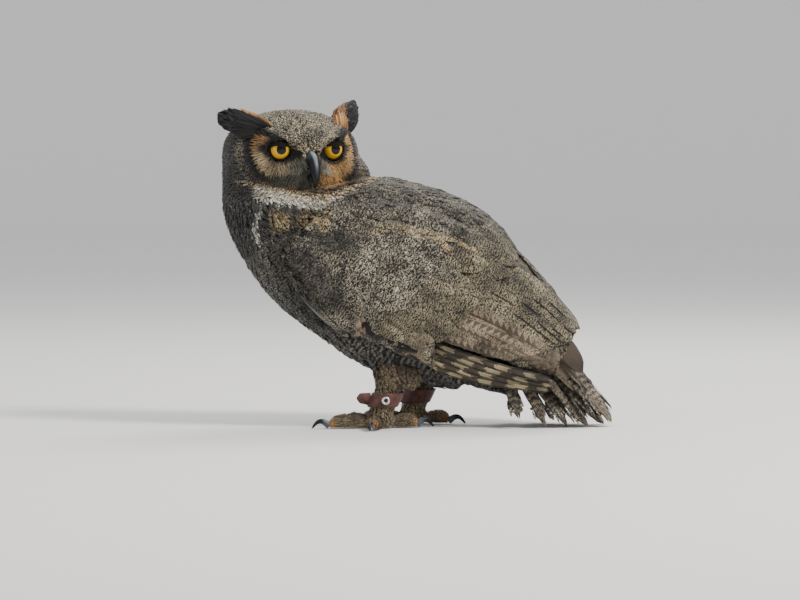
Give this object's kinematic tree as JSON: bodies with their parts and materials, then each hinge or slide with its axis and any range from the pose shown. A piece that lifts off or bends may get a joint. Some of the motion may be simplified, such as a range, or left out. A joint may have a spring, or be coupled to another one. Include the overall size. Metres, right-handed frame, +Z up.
{
  "type": "great horned owl figure",
  "caption": "Still, life-size great horned owl, standing side on with folded wings and its head turned over its left shoulder.",
  "frame": {"origin": "on the floor, under the middle of the bird's bounding box", "axes": "+Z up; the breast faces -X and the tail +X; the bird's left side is towards -Y and its right side towards +Y"},
  "size_m": [0.4644, 0.2338, 0.385],
  "materials": {
    "plumage_dark": "dark grey-brown feathers, matt",
    "plumage_buff": "buff-brown feathers, matt",
    "plumage_barred": "barred flight feathers, matt",
    "plumage_face": "tawny facial disc, matt",
    "plumage_black": "blackish ear-tuft feathers, matt",
    "iris_yellow": "yellow iris under a clear wet cornea, opaque",
    "horn_slate": "slate-black horn of bill and claws",
    "leather": "red-brown leather",
    "eyelet_metal": "pale polished metal"
  },
  "bodies": {
    "root": {"alula_left": "plumage_buff", "alula_right": "plumage_buff", "anklet_left": "leather", "anklet_right": "leather", "belly": "plumage_buff", "bill_lower": "horn_slate", "bill_upper": "horn_slate", "breast": "plumage_dark", "claw_hallux_left": "horn_slate", "claw_hallux_right": "horn_slate", "claw_inner_left": "horn_slate", "claw_inner_right": "horn_slate", "claw_middle_left": "horn_slate", "claw_middle_right": "horn_slate", "claw_outer_left": "horn_slate", "claw_outer_right": "horn_slate", "ear_tuft_left": "plumage_black", "ear_tuft_right": "plumage_black", "eye_left": "iris_yellow", "eye_right": "iris_yellow", "eyelet_left": "eyelet_metal", "eyelet_right": "eyelet_metal", "head": "plumage_face", "mantle": "plumage_dark", "neck": "plumage_dark", "primaries_left": "plumage_barred", "primaries_right": "plumage_barred", "primary_coverts_left": "plumage_barred", "primary_coverts_right": "plumage_barred", "scapulars_left": "plumage_dark", "scapulars_right": "plumage_dark", "secondaries_left": "plumage_barred", "secondaries_right": "plumage_barred", "tail_feather_1_left": "plumage_barred", "tail_feather_1_right": "plumage_barred", "tail_feather_2_left": "plumage_barred", "tail_feather_2_right": "plumage_barred", "tail_feather_3_left": "plumage_barred", "tail_feather_3_right": "plumage_barred", "tail_feather_4_left": "plumage_barred", "tail_feather_4_right": "plumage_barred", "tail_feather_5_left": "plumage_barred", "tail_feather_5_right": "plumage_barred", "tail_feather_6_left": "plumage_barred", "tail_feather_6_right": "plumage_barred", "tarsus_left": "plumage_buff", "tarsus_right": "plumage_buff", "thigh_left": "plumage_buff", "thigh_right": "plumage_buff", "toe_hallux_left": "plumage_buff", "toe_hallux_right": "plumage_buff", "toe_inner_left": "plumage_buff", "toe_inner_right": "plumage_buff", "toe_middle_left": "plumage_buff", "toe_middle_right": "plumage_buff", "toe_outer_left": "plumage_buff", "toe_outer_right": "plumage_buff", "undertail_coverts": "plumage_buff", "wing_coverts_left": "plumage_dark", "wing_coverts_right": "plumage_dark"}
  },
  "joints": []
}
